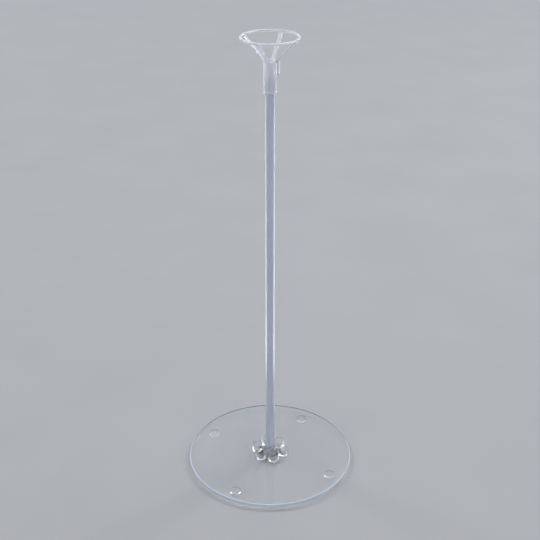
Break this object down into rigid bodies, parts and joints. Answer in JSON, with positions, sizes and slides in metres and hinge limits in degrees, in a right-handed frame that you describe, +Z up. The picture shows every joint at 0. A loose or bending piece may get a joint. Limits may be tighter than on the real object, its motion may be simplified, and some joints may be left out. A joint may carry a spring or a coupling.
{
  "type": "balloon stand",
  "caption": "Clear table stand for a balloon: round base plate with feet, flower-shaped socket hub, tube pole and a ring-topped cup with a neck clip.",
  "frame": {"origin": "on the table, under the pole's axis", "axes": "+Z up along the pole; feet stand on the diagonals, a socket on +Y and the neck clip between +X and -Y"},
  "size_m": [0.145, 0.145, 0.3833],
  "materials": {
    "clear_sheet": "polished clear sheet with a faint blue edge",
    "clear_moulding": "clear injection moulding, glossy",
    "milky_tube": "slightly milky extruded tube, satin",
    "soft_pad": "soft clear pad"
  },
  "bodies": {
    "base": {"base_plate": "clear_sheet", "foot_front_right": "soft_pad", "foot_back_right": "soft_pad", "foot_back_left": "soft_pad", "foot_front_left": "soft_pad"},
    "hub": {"socket_hub": "clear_moulding", "hub_nut": "clear_moulding"},
    "pole": {"pole": "milky_tube"},
    "cup": {"balloon_cup": "clear_moulding"},
    "clip": {"neck_clip": "clear_moulding"}
  },
  "joints": [
    {"name": "hub_turn", "type": "hinge", "parent": "base", "child": "hub", "pos_m": [0, 0, 0.0055], "axis": [0, 0, 1], "continuous": true},
    {"name": "pole_pull", "type": "slide", "parent": "hub", "child": "pole", "axis": [0, 0, 1], "range_m": [0, 0.03]},
    {"name": "cup_pull", "type": "slide", "parent": "pole", "child": "cup", "axis": [0, 0, 1], "range_m": [0, 0.03]},
    {"name": "clip_flex", "type": "hinge", "parent": "cup", "child": "clip", "pos_m": [0.00575, -0.00474, 0.36657], "axis": [-0.6361, -0.7716, 0], "range_deg": [0, 6], "stiffness_Nm_per_rad": 0.5}
  ]
}
